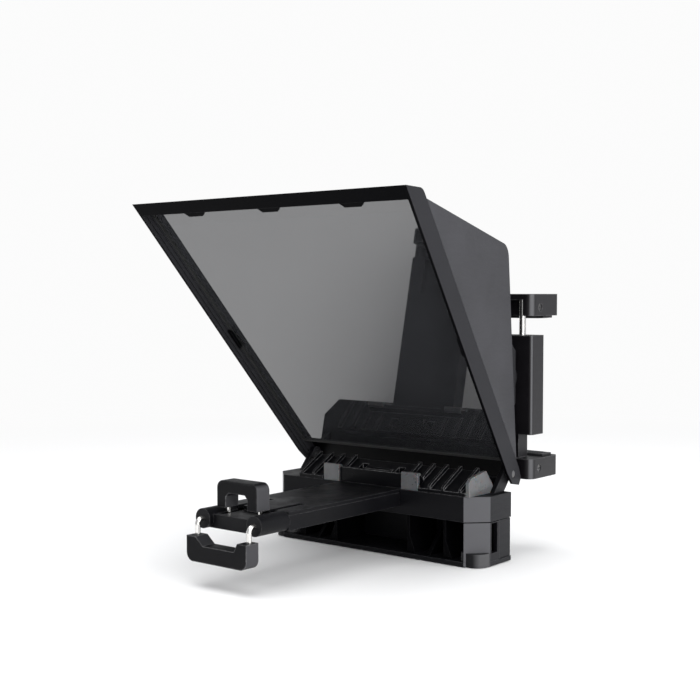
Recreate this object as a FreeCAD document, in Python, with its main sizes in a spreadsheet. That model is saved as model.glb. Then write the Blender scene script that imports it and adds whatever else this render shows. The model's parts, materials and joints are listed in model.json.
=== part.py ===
import FreeCAD, Part
import math
import os
from types import SimpleNamespace

import Sketcher

# Foldable teleprompter. Millimetres, +Z up, +X to the reader's right, -Y towards the reader.
# Origin: on the lens axis, at the rear face of the lens ring.
# The sloped beam-splitter stands in a deep frame at the front of a tapering hood. The lens looks
# in through the plate at the back. Below, a folding tray carries the reading device, held
# between a fixed bar at the rear and spring-wire jaws at the front.

Vec = FreeCAD.Vector
doc = FreeCAD.newDocument("teleprompter")

# name, millimetres (or degrees), meaning
SIZES = [
    ("hood_front_half", 100.0, "half width of the hood at its front edge"),
    ("hood_front_y", -134.0, "front edge of the glass frame"),
    ("hood_top_z", 88.0, "top of the glass frame"),
    ("hood_taper", 8.7, "degrees each side of the hood closes in towards the lens"),
    ("frame_tilt", 38.7, "degrees the glass frame leans from upright"),
    ("frame_run", 200.0, "length of the frame along its slope"),
    ("frame_deep", 14.0, "depth of the frame, square to the glass"),
    ("frame_side", 3.2, "width of the frame's sides at the glass"),
    ("frame_head", 10.5, "width of the frame's top bar at the glass"),
    ("frame_step", 2.3, "depth of one step of the frame's stepped inner walls"),
    ("frame_foot", 5.5, "width of the frame's bottom bar"),
    ("frame_ledge", 4.0, "ledge behind the sides of the glass"),
    ("frame_shelf", 10.0, "ledge behind the top of the glass, which reaches below the roof"),
    ("glass_set", 6.8, "how far the glass sits behind the frame's front"),
    ("glass_thick", 1.5, "thickness of the beam-splitter"),
    ("glass_gap", 0.3, "gap between the glass and its frame"),
    ("bead_wide", 1.0, "width of the bead that holds the glass"),
    ("bead_thick", 1.2, "thickness of that bead"),
    ("tab_wide", 17.0, "width of a glass tab"),
    ("tab_drop", 3.0, "how far a tab reaches over the glass"),
    ("tab_pitch", 58.0, "spacing of the three glass tabs"),
    ("skin", 1.6, "thickness of the hood panels"),
    ("seam", 0.3, "gap between the hood panels and the frame"),
    ("ring_gap", 0.12, "gap between the lens ring and its plate"),
    ("hood_rear_top_y", -9.2, "rear top corner of the side panels"),
    ("hood_rear_top_z", 63.0, "height of that corner"),
    ("hood_toe_y", 4.05, "rear bottom corner of the side panels"),
    ("hood_toe_z", -61.5, "height of that corner"),
    ("hood_round", 9.0, "rounding of the panels' rear top corner"),
    ("plate_front_y", -11.3, "front face of the lens plate"),
    ("plate_thick", 3.0, "thickness of the lens plate"),
    ("collar_r", 49.0, "outer radius of the collar round the lens ring"),
    ("ring_r", 44.0, "outer radius of the lens ring"),
    ("ring_bore_r", 36.0, "inner radius of the lens ring"),
    ("ring_front_y", -12.0, "front face of the lens ring"),
    ("hinge_y", 0.0, "tray hinge axis"),
    ("hinge_z", -70.0, "tray hinge axis"),
    ("hinge_pin_r", 2.2, "radius of the hinge pins"),
    ("run_gap", 0.05, "running clearance of a shaft in its hole"),
    ("base_half", 80.0, "half width of the tray housing"),
    ("base_front_y", -36.5, "front of the tray housing"),
    ("base_rear_y", -3.2, "rear of the tray housing"),
    ("base_foot_z", -120.0, "underside of the tray housing"),
    ("base_seam_z", -95.0, "seam between the lower and upper housing"),
    ("base_top_z", -80.0, "top of the tray housing"),
    ("base_wall", 2.5, "wall of the tray housing"),
    ("corner_cut", 11.0, "chamfer of the housing's front corners"),
    ("foot_r", 8.5, "radius of the round corner feet"),
    ("foot_high", 7.6, "height of the round corner feet"),
    ("screw_r", 2.6, "radius of the screw heads in the bottom plate"),
    ("deck_half", 56.0, "half width of the ribbed deck on the left"),
    ("deck_end", 69.8, "right end of the ribbed deck, against the end plate"),
    ("cheek_x", 72.3, "inner face of the hinge cheeks"),
    ("deck_toe_y", -36.0, "front edge of the deck's outer parts"),
    ("deck_rise", 28.0, "degrees the deck rises to the rear"),
    ("rib_thick", 1.6, "thickness of a deck rib"),
    ("bar_half", 36.0, "half width of the fixed rear bar"),
    ("bar_front_y", -35.5, "front face of the fixed rear bar"),
    ("bar_top_z", -71.0, "top of the fixed rear bar"),
    ("arm_half", 23.5, "half width of the tray arm"),
    ("arm_front_y", -134.0, "front end of the tray arm"),
    ("arm_low_z", -90.0, "underside of the tray arm"),
    ("arm_top_z", -80.0, "top of the tray arm"),
    ("arm_wall", 2.0, "wall of the tray arm"),
    ("tube_x", 19.0, "guide tubes, from the centre line"),
    ("tube_r", 5.4, "outer radius of a guide tube"),
    ("tube_front_y", -156.0, "front end of the guide tubes"),
    ("wire_z", -85.0, "height of the spring wires"),
    ("wire_r", 1.5, "radius of the spring wires"),
    ("wire_bend", 3.0, "bend radius of the spring wires"),
    ("inner_half", 15.0, "half width of the small front jaw"),
    ("inner_front_y", -149.6, "front face of the small front jaw"),
    ("inner_rear_y", -138.5, "rear face of the small front jaw"),
    ("inner_low_z", -79.0, "foot of the small front jaw"),
    ("inner_top_z", -64.5, "top of the small front jaw"),
    ("inner_wire_x", 11.8, "wires of the small front jaw, from the centre line"),
    ("inner_wire_y", -143.5, "upright wires of the small front jaw"),
    ("inner_wire_end_y", -84.0, "rear ends of those wires"),
    ("outer_half", 22.0, "half width of the wide front jaw"),
    ("outer_front_y", -165.0, "front face of the wide front jaw"),
    ("outer_rear_y", -154.5, "rear face of the wide front jaw"),
    ("outer_low_z", -106.5, "underside of the wide front jaw"),
    ("outer_top_z", -93.0, "top of the wide front jaw"),
    ("outer_wire_end_y", -58.0, "rear ends of the wide jaw's wires"),
    ("clamp_left_x", 46.0, "near side of the rear phone clamp"),
    ("clamp_right_x", 84.0, "far side of the rear phone clamp"),
    ("clamp_front_y", 12.5, "front face of the rear phone clamp"),
    ("clamp_back_y", 27.5, "face the phone lies against"),
    ("clamp_rear_y", 44.0, "rear ends of the clamp's jaws"),
    ("clamp_low_z", -48.0, "foot of the clamp body"),
    ("clamp_high_z", 11.0, "head of the clamp body"),
    ("jaw_up_z", 22.5, "underside of the clamp's top jaw"),
    ("jaw_up_high", 13.0, "height of the clamp's top jaw"),
    ("jaw_down_z", -62.5, "upper face of the clamp's bottom jaw"),
    ("jaw_down_high", 12.0, "height of the clamp's bottom jaw"),
    ("rod_r", 2.0, "radius of the clamp's steel rods"),
    ("rod_y", 17.5, "clamp rods"),
    ("rod_out_x", 74.5, "outer clamp rod"),
    ("rod_in_x", 55.5, "inner clamp rod"),
    ("pad_thick", 1.4, "thickness of the rubber pads"),
]


class Size:
    """A length as a number, together with the spreadsheet expression that gives it."""

    def __init__(self, value, text):
        self.value = float(value)
        self.text = text

    def __add__(self, other):
        other = size(other)
        return Size(self.value + other.value, "(%s + %s)" % (self.text, other.text))

    def __radd__(self, other):
        return size(other) + self

    def __sub__(self, other):
        other = size(other)
        return Size(self.value - other.value, "(%s - %s)" % (self.text, other.text))

    def __rsub__(self, other):
        return size(other) - self

    def __mul__(self, other):
        other = size(other)
        return Size(self.value * other.value, "(%s * %s)" % (self.text, other.text))

    def __rmul__(self, other):
        return size(other) * self

    def __truediv__(self, other):
        other = size(other)
        return Size(self.value / other.value, "(%s / %s)" % (self.text, other.text))

    def __neg__(self):
        return Size(-self.value, "(0 - %s)" % self.text)


def size(thing):
    """Any number as a Size."""
    if isinstance(thing, Size):
        return thing
    if thing < 0:
        return Size(thing, "(0 - %.6f)" % -thing)
    return Size(thing, "%.6f" % thing)


def sine(angle):
    """Sine of a Size given in degrees."""
    return Size(math.sin(math.radians(angle.value)), "sin(%s * 1deg)" % angle.text)


def cosine(angle):
    """Cosine of a Size given in degrees."""
    return Size(math.cos(math.radians(angle.value)), "cos(%s * 1deg)" % angle.text)


def fill_sheet():
    """Write every size into the spreadsheet and hand the sizes back by name."""
    sheet = doc.addObject("Spreadsheet::Sheet", "Sizes")
    named = {}
    for row, (name, value, meaning) in enumerate(SIZES, start=1):
        sheet.set("A%d" % row, meaning)
        sheet.set("B%d" % row, "%g" % value)
        sheet.setAlias("B%d" % row, name)
        named[name] = Size(value, "Sizes." + name)
    doc.recompute()
    return SimpleNamespace(**named)


g = fill_sheet()
nodes = []


def bind(thing, prop, length):
    """Tie one property of a document object to the spreadsheet."""
    thing.setExpression(prop, size(length).text)


def new_body(label):
    """An empty body whose label is the name of its file."""
    body = doc.addObject("PartDesign::Body", label)
    body.Label = label
    nodes.append(body)
    return body


def place(body, x=0, y=0, z=0, axis=None, angle=None):
    """Move and turn a body; the numbers stay tied to the spreadsheet."""
    if axis is not None:
        body.Placement = FreeCAD.Placement(Vec(0, 0, 0), FreeCAD.Rotation(axis, size(angle).value))
        bind(body, "Placement.Rotation.Angle", angle)
    bind(body, "Placement.Base.x", x)
    bind(body, "Placement.Base.y", y)
    bind(body, "Placement.Base.z", z)


def draw(body, plane, at, loops):
    """A fully tied sketch on one of the body's planes, at a distance along that plane's normal."""
    sketch = body.newObject("Sketcher::SketchObject", body.Label + "_sketch")
    role = plane + "_Plane"
    datum = [item for item in body.Origin.OriginFeatures if item.Role == role][0]
    sketch.AttachmentSupport = [(datum, "")]
    sketch.MapMode = "FlatFace"
    bind(sketch, "AttachmentOffset.Base.z", at)
    for loop in loops:
        if isinstance(loop, Round):
            add_circle(sketch, loop)
        else:
            add_polygon(sketch, loop)
    return sketch


class Round:
    """A circle in a sketch."""

    def __init__(self, across, up, radius):
        self.across = size(across)
        self.up = size(up)
        self.radius = size(radius)


def tie(sketch, kind, geometry, vertex, length):
    """One distance from the sketch's origin, tied to the spreadsheet."""
    number = sketch.addConstraint(Sketcher.Constraint(kind, -1, 1, geometry, vertex, length.value))
    sketch.setExpression("Constraints[%d]" % number, length.text)


def add_circle(sketch, loop):
    centre = Vec(loop.across.value, loop.up.value, 0)
    circle = sketch.addGeometry(Part.Circle(centre, Vec(0, 0, 1), loop.radius.value))
    number = sketch.addConstraint(Sketcher.Constraint("Radius", circle, loop.radius.value))
    sketch.setExpression("Constraints[%d]" % number, loop.radius.text)
    tie(sketch, "DistanceX", circle, 3, loop.across)
    tie(sketch, "DistanceY", circle, 3, loop.up)


def add_polygon(sketch, loop):
    corners = [(size(across), size(up)) for across, up in loop]
    points = [Vec(across.value, up.value, 0) for across, up in corners]
    first = sketch.GeometryCount
    count = len(points)
    for index in range(count):
        sketch.addGeometry(Part.LineSegment(points[index], points[(index + 1) % count]))
    for index in range(count):
        follower = first + (index + 1) % count
        sketch.addConstraint(Sketcher.Constraint("Coincident", first + index, 2, follower, 1))
    for index, (across, up) in enumerate(corners):
        tie(sketch, "DistanceX", first + index, 1, across)
        tie(sketch, "DistanceY", first + index, 1, up)


def extrude(body, kind, plane, loops, start, end):
    """Pad or pocket between two coordinates along the plane's axis, whichever is the larger."""
    start = size(start)
    end = size(end)
    if start.value > end.value:
        start, end = end, start
    # The XZ plane's normal points to -Y, and a pocket runs against its sketch's normal.
    normal_is_plus = plane != "XZ"
    from_start = normal_is_plus == (kind == "Pad")
    at = start if from_start else end
    if not normal_is_plus:
        at = -at
    before = body.Tip
    solid_before = before.Shape.Volume if before is not None else 0.0
    sketch = draw(body, plane, at, loops)
    feature = body.newObject("PartDesign::" + kind, body.Label + "_" + kind.lower())
    feature.Profile = sketch
    bind(feature, "Length", end - start)
    sketch.Visibility = False
    body.Tip = feature
    doc.recompute()
    if kind == "Pocket" and feature.Shape.Volume > solid_before - 1e-3:
        raise RuntimeError(body.Label + ": a pocket cuts nothing")
    return feature


def pad(body, plane, loops, start, end):
    return extrude(body, "Pad", plane, loops, start, end)


def cut(body, plane, loops, start, end):
    return extrude(body, "Pocket", plane, loops, start, end)


def rectangle(across_low, up_low, across_high, up_high):
    return [(across_low, up_low), (across_high, up_low), (across_high, up_high), (across_low, up_high)]


def block(body, low, high):
    """A box-shaped pad between two corners."""
    return pad(body, "XY", [rectangle(low[0], low[1], high[0], high[1])], low[2], high[2])


def hollow(body, low, high):
    """A box-shaped pocket between two corners."""
    return cut(body, "XY", [rectangle(low[0], low[1], high[0], high[1])], low[2], high[2])


def edges_within(shape, low, high, along=None):
    """Names of the edges that lie inside a box, and optionally run along one axis."""
    names = []
    for index, edge in enumerate(shape.Edges, start=1):
        box = edge.BoundBox
        inside = (box.XMin >= low[0] and box.YMin >= low[1] and box.ZMin >= low[2]
                  and box.XMax <= high[0] and box.YMax <= high[1] and box.ZMax <= high[2])
        if not inside:
            continue
        if along is not None:
            lengths = (box.XLength, box.YLength, box.ZLength)
            if lengths[along] < 0.9 * edge.Length:
                continue
        names.append("Edge%d" % index)
    return names


def soften(body, kind, amount, low, high, along=None):
    """Fillet or chamfer the edges inside a box."""
    base = body.Tip
    names = edges_within(base.Shape, low, high, along)
    if not names:
        raise RuntimeError(body.Label + ": no edge to soften")
    feature = body.newObject("PartDesign::" + kind, body.Label + "_" + kind.lower())
    feature.Base = (base, names)
    bind(feature, "Radius" if kind == "Fillet" else "Size", amount)
    doc.recompute()
    body.Tip = feature
    doc.recompute()
    return feature


def fillet(body, radius, low, high, along=None):
    return soften(body, "Fillet", radius, low, high, along)


def chamfer(body, amount, low, high, along=None):
    return soften(body, "Chamfer", amount, low, high, along)


def around(x, y, z, reach=0.05):
    """A small box round a point; a coordinate of None leaves that direction open."""
    low = []
    high = []
    for value in (x, y, z):
        if value is None:
            low.append(-500.0)
            high.append(500.0)
        else:
            low.append(size(value).value - reach)
            high.append(size(value).value + reach)
    return low, high


X_AXIS = Vec(1, 0, 0)
Z_AXIS = Vec(0, 0, 1)
ALONG_Y = 1
ALONG_Z = 2
SCREW_X = (-62, -20, 20, 62)

tilt_sin = sine(g.frame_tilt)
tilt_cos = cosine(g.frame_tilt)
taper_sin = sine(g.hood_taper)
taper_cos = cosine(g.hood_taper)
taper_tan = taper_sin / taper_cos


def slope_point(down, behind):
    """Y and Z of a point on the frame: a distance down its slope and a depth behind its front."""
    y = g.hood_front_y + tilt_sin * down + tilt_cos * behind
    z = g.hood_top_z - tilt_cos * down + tilt_sin * behind
    return y, z


def rear_line_y(z):
    """Y of the frame's rear face at a height."""
    y0, z0 = slope_point(0, g.frame_deep)
    return y0 + (z0 - z) * tilt_sin / tilt_cos


def half_width_at(y):
    """Half width of the tapering hood at a Y."""
    return g.hood_front_half - (y - g.hood_front_y) * taper_tan


def face_half(down, inset):
    """Half width of the frame's face at a distance down the slope, less an inset."""
    return g.hood_front_half - tilt_sin * down * taper_tan - inset


def face_loop(top, foot, inset):
    """A trapezium on the frame's face, in the sloping body's own axes."""
    return [(-face_half(top, inset), -size(top)), (-face_half(foot, inset), -size(foot)),
            (face_half(foot, inset), -size(foot)), (face_half(top, inset), -size(top))]


def on_slope(body):
    """Lay a body on the frame: its XY plane is the frame's front face, +Z points to the reader."""
    place(body, 0, g.hood_front_y, g.hood_top_z, X_AXIS, g.frame_tilt + 90)


def make_glass_frame():
    """The deep frame: an extruded side profile, tapered, opened for the glass, with hinge ears."""
    body = new_body("glass_frame")
    reach = g.hood_front_half + 1
    front_low_y, front_low_z = slope_point(g.frame_run, 0)
    ear_y, ear_z = slope_point(g.frame_run + 11, 1.5)
    profile = [(g.hood_front_y, g.hood_top_z),
               (front_low_y, front_low_z),
               (ear_y, ear_z),
               (g.hinge_y + 8.5, g.hinge_z - 7.5),
               (g.hinge_y + 11.5, g.hinge_z - 3.5),
               (rear_line_y(g.hinge_z + 3.5), g.hinge_z + 3.5),
               (rear_line_y(g.hood_top_z), g.hood_top_z)]
    pad(body, "YZ", [profile], -reach, reach)
    fillet(body, 6.5, *around(None, rear_line_y(g.hood_top_z), g.hood_top_z))
    for side in (-1, 1):
        rear_y = g.hinge_y + 14
        wedge = [(side * g.hood_front_half, g.hood_front_y - 1),
                 (side * (g.hood_front_half + 4), g.hood_front_y - 1),
                 (side * (g.hood_front_half + 4), rear_y),
                 (side * half_width_at(rear_y), rear_y),
                 (side * g.hood_front_half, g.hood_front_y)]
        cut(body, "XY", [wedge], g.hinge_z - 15, g.hood_top_z + 1)
    return body


def open_glass_frame(body):
    """Cut the glass seat, the clear opening, the room for the tray's hinge and the pin holes."""
    # The inner walls step in towards the glass: (top of the step, side inset, depth it reaches).
    steps = [(g.frame_head - 2, g.frame_side - 1.4, g.frame_step),
             (g.frame_head - 1, g.frame_side - 0.7, g.frame_step * 2),
             (g.frame_head, g.frame_side, g.glass_set + g.glass_thick)]
    prisms = []
    for number, (head, inset, depth) in enumerate(steps):
        loop = face_loop(head, g.frame_run + 30, inset)
        prisms.append(sloped_prism("frame_step_%d" % number, loop, -depth, size(3)))
    foot = g.frame_run - g.frame_foot
    loop = face_loop(g.frame_head + g.frame_shelf, foot, g.frame_side + g.frame_ledge)
    prisms.append(sloped_prism("frame_clear", loop, -(g.frame_deep + 3), size(0)))
    # Below the glass the foot bar is set back, so that the tray's hinge can turn in front of it.
    relief = face_loop(foot + 2.2, g.frame_run + 30, g.frame_side)
    prisms.append(sloped_prism("frame_relief", relief, size(-10.6), size(3)))
    holes = doc.addObject("Part::Cylinder", "frame_pin_holes")
    bind(holes, "Radius", g.hinge_pin_r)
    bind(holes, "Height", 2 * g.hood_front_half)
    holes.Placement = FreeCAD.Placement(Vec(0, 0, 0), FreeCAD.Rotation(Vec(0, 1, 0), 90))
    bind(holes, "Placement.Base.x", -g.hood_front_half)
    bind(holes, "Placement.Base.y", g.hinge_y)
    bind(holes, "Placement.Base.z", g.hinge_z)
    everything = doc.addObject("Part::MultiFuse", "frame_cutters")
    everything.Shapes = prisms + [holes]
    nodes.remove(body)
    body.Label = "glass_frame_blank"
    opened = doc.addObject("Part::Cut", "glass_frame_open")
    opened.Base = body
    opened.Tool = everything
    opened.Label = "glass_frame"
    doc.recompute()
    nodes.append(opened)
    return opened


def sloped_prism(name, loop, low, high):
    """A helper body on the frame's slope, used as a cutting tool."""
    tool = doc.addObject("PartDesign::Body", name)
    pad(tool, "XY", [loop], low, high)
    on_slope(tool)
    doc.recompute()
    return tool


def make_glass():
    body = new_body("beam_splitter_glass")
    inset = g.frame_side + g.glass_gap
    foot = g.frame_run - g.frame_foot + 1.8
    front = -g.glass_set
    pad(body, "XY", [face_loop(g.frame_head + 0.4, foot, inset)], front - g.glass_thick, front)
    on_slope(body)


def make_glass_bead():
    """The thin bead round the edge of the glass: top and both sides."""
    body = new_body("glass_bead")
    inset = g.frame_side + 0.02
    foot = g.frame_run - g.frame_foot + 1.8
    outer = face_loop(g.frame_head, foot, inset)
    inner = face_loop(g.frame_head + g.bead_wide, foot - g.bead_wide, inset + g.bead_wide)
    pad(body, "XY", [outer, inner], -g.glass_set, -g.glass_set + g.bead_thick)
    on_slope(body)


def make_glass_tabs():
    """Three tapered tabs under the top bar that keep the glass in."""
    body = new_body("glass_tabs")
    low = -g.glass_set + g.bead_thick + 0.05
    half = g.tab_wide / 2
    root = -g.frame_head
    tip = root - g.tab_drop
    for step in (-1, 0, 1):
        middle = step * g.tab_pitch
        tab = [(middle - half, root), (middle - half + 3, tip),
               (middle + half - 3, tip), (middle + half, root)]
        pad(body, "XY", [tab], low, low + 1.8)
    on_slope(body)


def make_side_clips():
    """A small clip half way down each side of the frame."""
    body = new_body("side_clips")
    low = -g.glass_set + g.bead_thick + 0.05
    top = g.frame_run * 0.5
    foot = top + 15
    for side in (-1, 1):
        clip = [(side * face_half(top, g.frame_side), -top), (side * face_half(foot, g.frame_side), -foot),
                (side * face_half(foot, g.frame_side + 2.4), -foot + 1.5),
                (side * face_half(top, g.frame_side + 2.4), -top - 1.5)]
        pad(body, "XY", [clip], low, low + 1.8)
    on_slope(body)


def make_hood_side(label, side):
    """A flat side panel of the hood, from the frame's rear face to the lens plate."""
    body = new_body(label)
    front_top_z = g.hood_top_z - 5.1
    corners = [(rear_line_y(front_top_z) + g.seam, front_top_z),
               (g.hood_toe_y, g.hood_toe_z),
               (g.hood_rear_top_y, g.hood_rear_top_z)]
    loop = [((y - g.hood_front_y) / taper_cos, z) for y, z in corners]
    inward = -side * g.skin
    pad(body, "YZ", [loop], 0, inward)
    corner_y = (g.hood_rear_top_y - g.hood_front_y) / taper_cos
    fillet(body, g.hood_round, *around(None, corner_y, g.hood_rear_top_z))
    place(body, side * g.hood_front_half, g.hood_front_y, 0, Z_AXIS, side * g.hood_taper)


def make_hood_top():
    """The roof: a bent strip that falls to the rear, turns down to the lens plate, and tapers."""
    body = new_body("hood_top")
    front_z = g.hood_top_z - 5.1
    front_y = rear_line_y(front_z) + g.seam
    front_low_y = rear_line_y(front_z - g.skin) + g.seam
    lean = (g.hood_toe_y - g.hood_rear_top_y) / (g.hood_rear_top_z - g.hood_toe_z)
    flange_z = g.hood_rear_top_z - 12
    flange_y = g.hood_rear_top_y + 12 * lean
    profile = [(front_y, front_z), (g.hood_rear_top_y, g.hood_rear_top_z), (flange_y, flange_z),
               (flange_y - g.skin, flange_z), (g.hood_rear_top_y - g.skin, g.hood_rear_top_z - g.skin),
               (front_low_y, front_z - g.skin)]
    pad(body, "YZ", [profile], -g.hood_front_half, g.hood_front_half)
    fillet(body, g.hood_round, *around(None, g.hood_rear_top_y, g.hood_rear_top_z))
    inside = around(None, g.hood_rear_top_y - g.skin, g.hood_rear_top_z - g.skin)
    fillet(body, g.hood_round - g.skin, *inside)
    taper_ends(body, front_y - 1, g.hood_rear_top_y + 3, flange_z - 1, front_z + 1)


def taper_ends(body, front, rear, low, high):
    """Trim a body's two ends to the hood's taper, just inside the side panels."""
    trim = g.skin / taper_cos + 0.1
    for side in (-1, 1):
        wedge = [(side * (half_width_at(front) - trim), front),
                 (side * (g.hood_front_half + 4), front),
                 (side * (g.hood_front_half + 4), rear),
                 (side * (half_width_at(rear) - trim), rear)]
        cut(body, "XY", [wedge], low, high)


def make_lens_plate():
    """The upright lens plate, with its raised collar and a lip that closes the hood's foot."""
    body = new_body("lens_plate")
    front = g.plate_front_y
    rear = front + g.plate_thick
    half = half_width_at(rear) - g.skin / taper_cos - 0.1
    top = g.hood_rear_top_z - 12.1
    foot = g.hinge_z + 27.5
    block(body, (-half, front, foot), (half, rear, top))
    hole = Round(0, 0, g.ring_r + g.ring_gap)
    cut(body, "XZ", [hole], front - 1, rear + 1)
    rib = rectangle(-(g.collar_r + 10), -34, -(g.collar_r + 8), 46)
    pad(body, "XZ", [rib], rear - 0.2, rear + 2.4)
    collar = new_body("plate_collar")
    pad(collar, "XZ", [Round(0, 0, g.collar_r), hole], rear + 0.02, rear + 4.0)
    lip = new_body("plate_lip")
    lip_y = g.hinge_y - 1.0
    lip_z = g.hinge_z + 15.4
    profile = [(front, foot - 0.02), (lip_y, lip_z - 0.6), (lip_y + 2.2, lip_z + 1.6), (rear, foot - 0.02)]
    pad(lip, "YZ", [profile], -half - 2, half + 2)
    taper_ends(lip, front - 1, lip_y + 4, lip_z - 2, foot + 1)
    cut(lip, "XZ", [Round(0, 0, g.collar_r + 0.1)], front - 1, lip_y + 4)


def make_lens_ring():
    """The metal adapter ring that screws on the lens."""
    body = new_body("lens_ring")
    pad(body, "XZ", [Round(0, 0, g.ring_r), Round(0, 0, g.ring_bore_r)], g.ring_front_y, 0)
    collar_rear = g.plate_front_y + g.plate_thick + 4.05
    pad(body, "XZ", [Round(0, 0, g.ring_r + 3), Round(0, 0, g.ring_bore_r)], collar_rear, collar_rear + 2.6)
    chamfer(body, 0.7, *around(None, 0, None))


def make_clamp_bracket():
    """The block on the lens plate that carries the rear phone clamp."""
    body = new_body("clamp_bracket")
    front = g.plate_front_y + g.plate_thick + 0.02
    rear = g.clamp_front_y - 6.0
    right = half_width_at(rear) - g.skin / taper_cos - 0.4
    low = -33.0
    high = 6.0
    block(body, (g.clamp_left_x + 6, front, low), (right, rear, high))
    rear_value = size(rear).value
    for level in (low, high):
        chamfer(body, 4.0, *around(None, rear_value, level))


def make_clamp_neck():
    """The round neck between the bracket and the clamp body."""
    body = new_body("clamp_neck")
    middle = (g.rod_in_x + g.rod_out_x) / 2
    pad(body, "XZ", [Round(middle, -14, 9)], g.clamp_front_y - 5.98, g.clamp_front_y - 0.02)


def make_clamp_body():
    """The upright body of the phone clamp, bored for the two rods."""
    body = new_body("clamp_body")
    block(body, (g.clamp_left_x, g.clamp_front_y, g.clamp_low_z),
          (g.clamp_right_x, g.clamp_back_y, g.clamp_high_z))
    for x in (g.clamp_left_x, g.clamp_right_x):
        for y in (g.clamp_front_y, g.clamp_back_y):
            fillet(body, 2.2, *around(x, y, None), along=ALONG_Z)
    for x in (g.rod_in_x, g.rod_out_x):
        cut(body, "XY", [Round(x, g.rod_y, g.rod_r + g.run_gap)], g.clamp_low_z + 4, g.clamp_high_z + 1)


def clamp_jaw(label, low, high):
    """One jaw of the phone clamp: a deep block with rounded corners."""
    body = new_body(label)
    block(body, (g.clamp_left_x, g.clamp_front_y, low), (g.clamp_right_x, g.clamp_rear_y, high))
    for x in (g.clamp_left_x, g.clamp_right_x):
        fillet(body, 5.0, *around(x, g.clamp_front_y, None), along=ALONG_Z)
        fillet(body, 3.0, *around(x, g.clamp_rear_y, None), along=ALONG_Z)
    return body


def make_clamp_top_jaw():
    """The sliding jaw, with an open channel in front that shows the rods."""
    low = g.jaw_up_z
    high = low + g.jaw_up_high
    body = clamp_jaw("clamp_top_jaw", low, high)
    hollow(body, (g.rod_in_x - 3, g.clamp_front_y - 1, low - 1), (g.rod_out_x + 3, g.rod_y, high - 3.5))
    for x in (g.rod_in_x, g.rod_out_x):
        cut(body, "XY", [Round(x, g.rod_y, g.rod_r)], low - 1, high - 2)
    hole = Round(g.clamp_front_y + 9.5, low + 5.0, 2.2)
    cut(body, "YZ", [hole], g.clamp_right_x - 2.4, g.clamp_right_x + 1)


def make_clamp_rods():
    """Two steel rods, fixed in the top jaw and sliding in the clamp body."""
    body = new_body("clamp_rods")
    top = g.jaw_up_z + g.jaw_up_high - 2.05
    for x in (g.rod_in_x, g.rod_out_x):
        pad(body, "XY", [Round(x, g.rod_y, g.rod_r)], g.clamp_low_z + 18, top)


def make_clamp_bottom_jaw():
    """The fixed jaw, with the post that joins it to the clamp body."""
    high = g.jaw_down_z
    low = high - g.jaw_down_high
    body = clamp_jaw("clamp_bottom_jaw", low, high)
    block(body, (g.rod_in_x - 2, g.clamp_front_y + 3, high - 0.5),
          (g.rod_out_x - 1, g.clamp_back_y - 2, g.clamp_low_z - 0.02))
    hole = Round(g.clamp_front_y + 9.5, low + 6.0, 2.2)
    cut(body, "YZ", [hole], g.clamp_right_x - 2.4, g.clamp_right_x + 1)


def make_jaw_screw(label, z):
    """A countersunk screw in the side of a clamp jaw."""
    body = new_body(label)
    outer = g.clamp_right_x - 0.5
    middle = g.clamp_front_y + 9.5
    pad(body, "YZ", [Round(middle, z, 2.18)], g.clamp_right_x - 2.4, outer)
    slot = rectangle(middle - 1.3, z - 0.3, middle + 1.3, z + 0.3)
    cut(body, "YZ", [slot], outer - 0.7, outer + 1)


def make_clamp_pads():
    """Rubber pads of the phone clamp: back, top and bottom."""
    back = new_body("clamp_back_pad")
    block(back, (g.clamp_left_x + 4, g.clamp_back_y + 0.01, g.clamp_low_z + 4),
          (g.clamp_right_x - 4, g.clamp_back_y + g.pad_thick, g.clamp_high_z - 4))
    top = new_body("clamp_top_pad")
    block(top, (g.clamp_left_x + 3, g.clamp_back_y + 3, g.jaw_up_z - g.pad_thick),
          (g.clamp_right_x - 3, g.clamp_rear_y - 3, g.jaw_up_z - 0.01))
    bottom = new_body("clamp_bottom_pad")
    block(bottom, (g.clamp_left_x + 3, g.clamp_back_y + 3, g.jaw_down_z + 0.01),
          (g.clamp_right_x - 3, g.clamp_rear_y - 3, g.jaw_down_z + g.pad_thick))


def make_base_lower():
    """The lower housing: open to the front, with corner columns, ribs and a rear wall."""
    body = new_body("base_lower")
    half = g.base_half
    front = g.base_front_y
    rear = g.base_rear_y
    low = g.base_foot_z + 2.6
    high = g.base_seam_z
    wall = g.base_wall
    block(body, (-half, front, low), (half, rear, high))
    for side in (-1, 1):
        chamfer(body, g.corner_cut, *around(side * half, front, None), along=ALONG_Z)
    column = g.corner_cut
    hollow(body, (-(half - column), front - 1, low - 1), (half - column, rear - wall, high + 1))
    for side in (-1, 1):
        inner = half - column
        shell = [(side * (inner - 1), front + 14), (side * (half - wall), front + 14),
                 (side * (half - wall), rear - wall), (side * (inner - 1), rear - wall)]
        cut(body, "XY", [shell], low - 1, high + 1)
        slot = rectangle(front + 12.2, low + 4.6, front + 18.6, high - 0.5)
        cut(body, "YZ", [slot], side * (half - 6), side * (half + 1))
        panel = rectangle(front + 21, low - 1, rear + 1, high + 1)
        cut(body, "YZ", [panel], side * (half - 0.6), side * (half + 1))
        pocket = foot_circle(side, g.foot_r + 0.02)
        cut(body, "XY", [pocket], low - 1, g.base_foot_z + g.foot_high + 0.02)


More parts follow.
